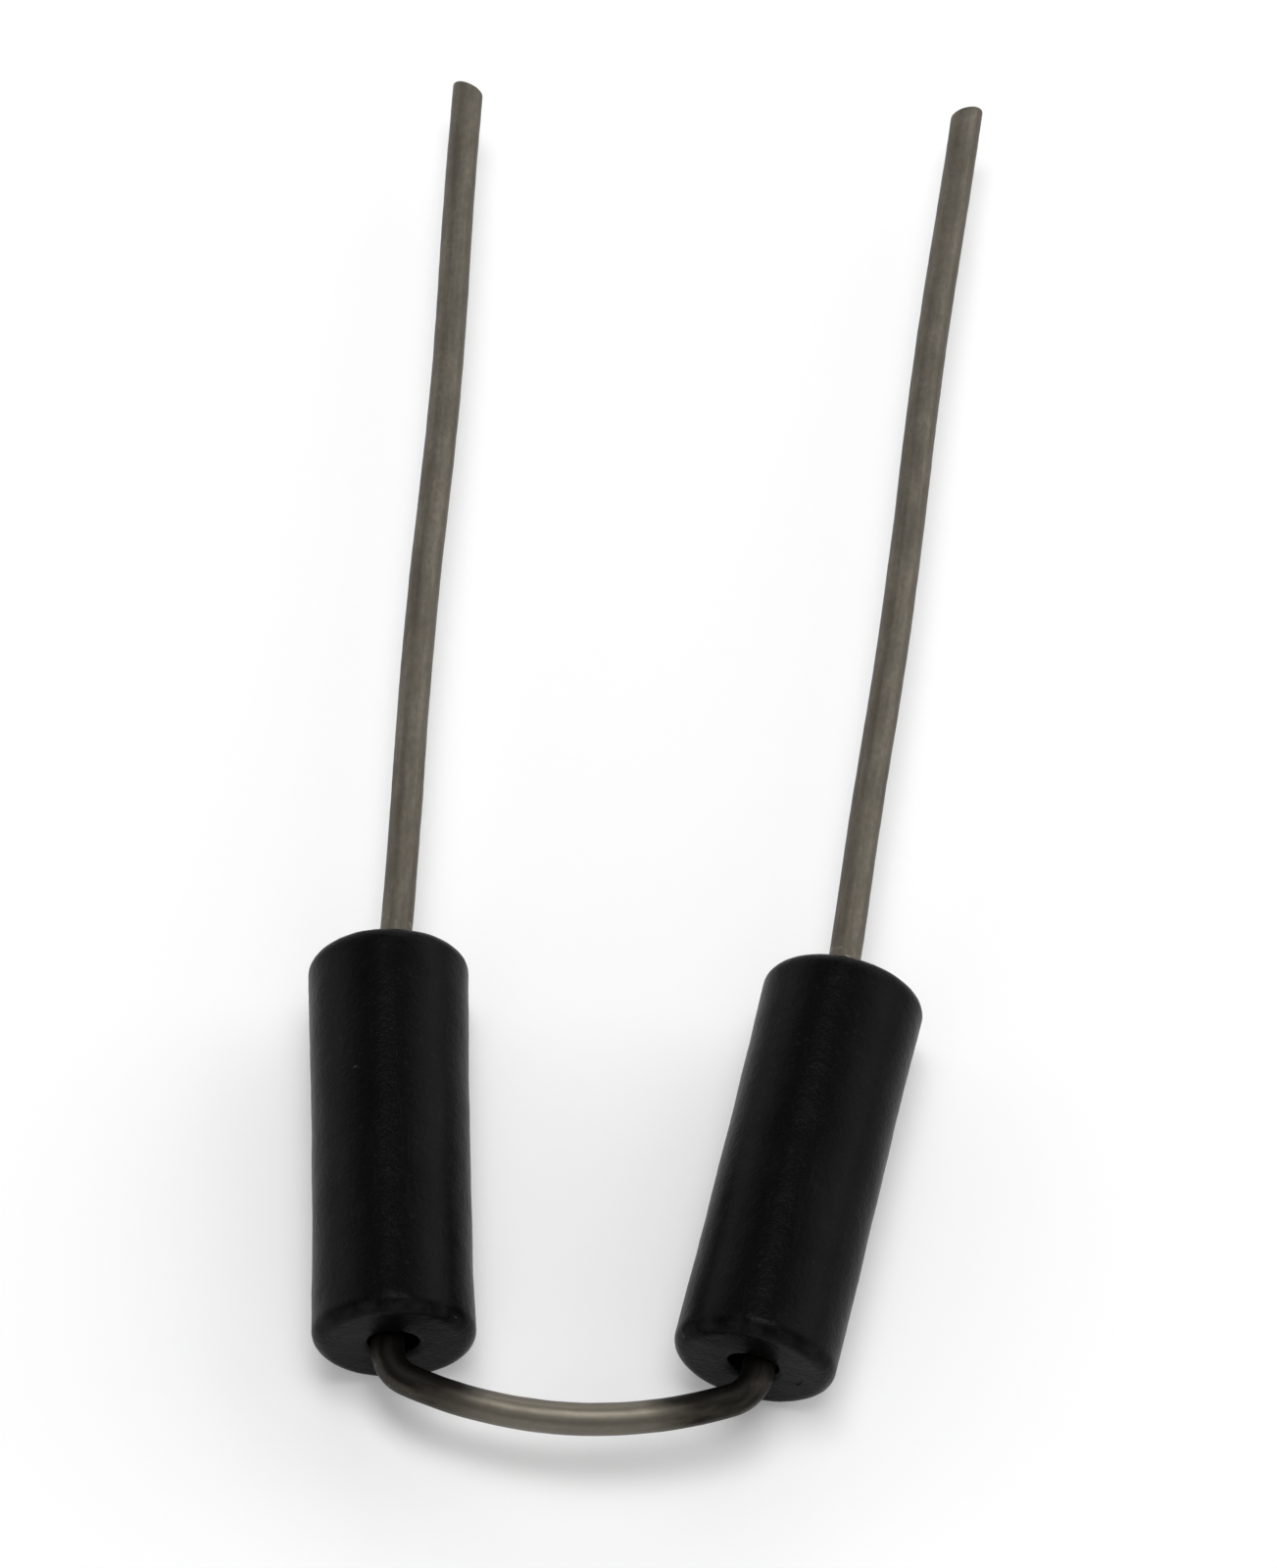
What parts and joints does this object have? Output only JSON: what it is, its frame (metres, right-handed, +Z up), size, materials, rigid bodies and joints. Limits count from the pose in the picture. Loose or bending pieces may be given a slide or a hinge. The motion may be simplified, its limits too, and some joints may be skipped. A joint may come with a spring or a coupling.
{
  "type": "leaded ferrite bead",
  "caption": "Leaded ferrite bead: plain black ferrite sleeves threaded on one tinned wire bent into a U, with straight leads leaving side by side. It damps high-frequency noise.",
  "frame": {"origin": "on the table that the beads lie on, under the middle of the part's outline", "axes": "+Y runs from the bridge of the U towards the cut ends of the leads, +Z is up from the table, and +X is across the two legs; X = 0 is the mirror plane"},
  "size_m": [0.0132, 0.0338, 0.0035],
  "materials": {
    "ferrite": "matte sintered, soft sheen",
    "tinned_wire": "dull hot-dipped tin"
  },
  "bodies": {
    "root": {"bead_left": "ferrite", "bead_right": "ferrite", "lead_wire": "tinned_wire"}
  },
  "joints": []
}
